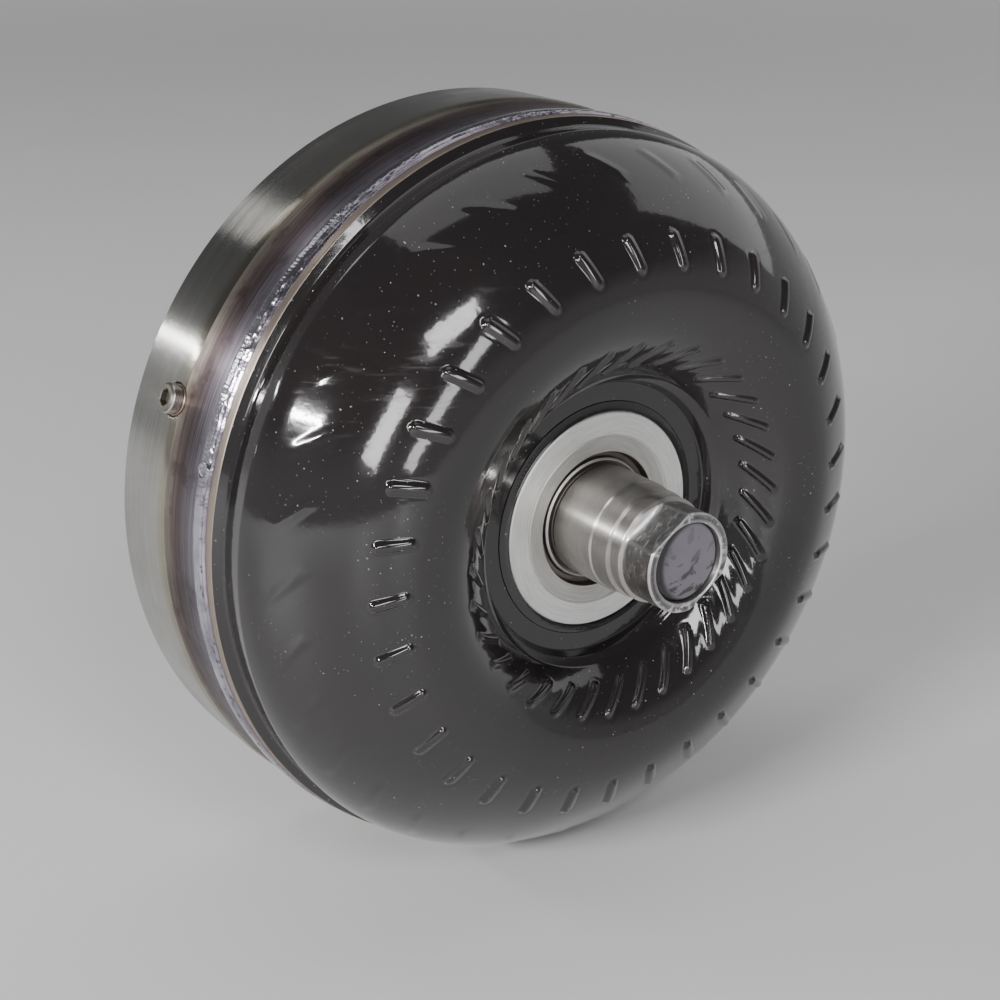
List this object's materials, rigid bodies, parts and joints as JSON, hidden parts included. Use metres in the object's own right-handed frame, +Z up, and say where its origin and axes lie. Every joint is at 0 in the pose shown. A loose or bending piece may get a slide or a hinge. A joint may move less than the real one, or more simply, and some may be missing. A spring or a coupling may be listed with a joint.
{
  "type": "torque converter",
  "caption": "Lock-up torque converter: drum cover with flexplate pads, torus impeller shell with dimple rings, flanged pump hub, and turbine, stator, clutch and damper inside.",
  "frame": {"origin": "centre of the crank pilot's end face, on the rotation axis", "axes": "+Y along the rotation axis towards the engine, -Y towards the transmission pump hub, +Z up"},
  "size_m": [0.314, 0.1758, 0.314],
  "materials": {
    "machined_cover": "turned and brushed, straw heat tint near the weld",
    "ground_steel": "ground",
    "weld_metal": "weld ripple, blue and purple heat tint",
    "black_paint": "gloss black enamel",
    "stamped_steel": "pressed sheet steel",
    "dark_steel": "hardened, dark",
    "copper_brass": "plain",
    "cast_aluminium": "die cast, machined faces",
    "seal_rubber": "moulded",
    "friction_paper": "paper based friction lining",
    "phenolic": "moulded phenolic",
    "plug_plastic": "moulded cap with rubbed marks"
  },
  "bodies": {
    "housing": {"front_cover": "machined_cover", "crank_pilot": "ground_steel", "pilot_weld": "weld_metal", "drive_pad_1": "ground_steel", "drive_pad_2": "ground_steel", "drive_pad_3": "ground_steel", "drive_pad_4": "ground_steel", "balance_weight": "stamped_steel", "drain_plug": "ground_steel", "drain_plug_washer": "copper_brass", "closure_weld": "weld_metal", "impeller_shell": "black_paint", "impeller_blades": "stamped_steel", "pump_hub": "ground_steel", "hub_weld": "black_paint", "front_bearing_race_a": "ground_steel", "rear_bearing_race_b": "ground_steel"},
    "turbine": {"turbine_shell": "stamped_steel", "turbine_blades": "stamped_steel", "turbine_hub": "ground_steel", "turbine_rivet_1": "stamped_steel", "turbine_rivet_2": "stamped_steel", "turbine_rivet_3": "stamped_steel", "turbine_rivet_4": "stamped_steel", "turbine_rivet_5": "stamped_steel", "turbine_rivet_6": "stamped_steel", "damper_driven_ring": "dark_steel", "front_bearing_race_b": "ground_steel", "piston_seal_ring": "seal_rubber"},
    "damper": {"damper_plate": "dark_steel", "damper_spring_1": "dark_steel", "damper_spring_2": "dark_steel", "damper_spring_3": "dark_steel", "damper_spring_4": "dark_steel", "damper_spring_5": "dark_steel", "damper_spring_6": "dark_steel"},
    "piston": {"lockup_piston": "stamped_steel", "friction_lining": "friction_paper", "piston_drive_pin_1": "stamped_steel", "piston_drive_pin_2": "stamped_steel", "piston_drive_pin_3": "stamped_steel", "piston_drive_pin_4": "stamped_steel"},
    "front_cage": {"front_bearing_needle_cage": "copper_brass"},
    "stator_inner": {"clutch_inner_race": "ground_steel", "stator_thrust_washer": "phenolic", "rear_bearing_race_a": "ground_steel"},
    "rear_cage": {"rear_bearing_needle_cage": "copper_brass"},
    "stator": {"stator_wheel": "cast_aluminium", "clutch_outer_race": "dark_steel", "clutch_roller_1": "ground_steel", "clutch_roller_2": "ground_steel", "clutch_roller_3": "ground_steel", "clutch_roller_4": "ground_steel", "clutch_roller_5": "ground_steel", "clutch_roller_6": "ground_steel", "clutch_roller_7": "ground_steel", "clutch_roller_8": "ground_steel", "clutch_front_plate": "cast_aluminium", "clutch_rear_plate": "cast_aluminium"},
    "shipping_plug": {"hub_plug": "plug_plastic"}
  },
  "joints": [
    {"name": "turbine_spin", "type": "hinge", "parent": "housing", "child": "turbine", "pos_m": [0, -0.06, 0], "axis": [0, 1, 0], "continuous": true},
    {"name": "damper_twist", "type": "hinge", "parent": "turbine", "child": "damper", "pos_m": [0, -0.037, 0], "axis": [0, 1, 0], "range_deg": [-2, 2]},
    {"name": "lockup_apply", "type": "slide", "parent": "damper", "child": "piston", "axis": [0, 1, 0], "range_m": [0, 0.0009]},
    {"name": "front_cage_roll", "type": "hinge", "parent": "housing", "child": "front_cage", "pos_m": [0, -0.0294, 0], "axis": [0, 1, 0], "continuous": true},
    {"name": "stator_inner_spin", "type": "hinge", "parent": "housing", "child": "stator_inner", "pos_m": [0, -0.0925, 0], "axis": [0, 1, 0], "continuous": true},
    {"name": "rear_cage_roll", "type": "hinge", "parent": "housing", "child": "rear_cage", "pos_m": [0, -0.1061, 0], "axis": [0, 1, 0], "continuous": true},
    {"name": "stator_freewheel", "type": "hinge", "parent": "stator_inner", "child": "stator", "pos_m": [0, -0.0925, 0], "axis": [0, 1, 0], "continuous": true},
    {"name": "hub_plug_pull", "type": "slide", "parent": "housing", "child": "shipping_plug", "axis": [0, -1, 0], "range_m": [0, 0.02]}
  ],
  "couplings": [
    {"joint": "front_cage_roll", "follows": "turbine_spin", "ratio": 0.5},
    {"joint": "rear_cage_roll", "follows": "stator_inner_spin", "ratio": 0.5}
  ]
}
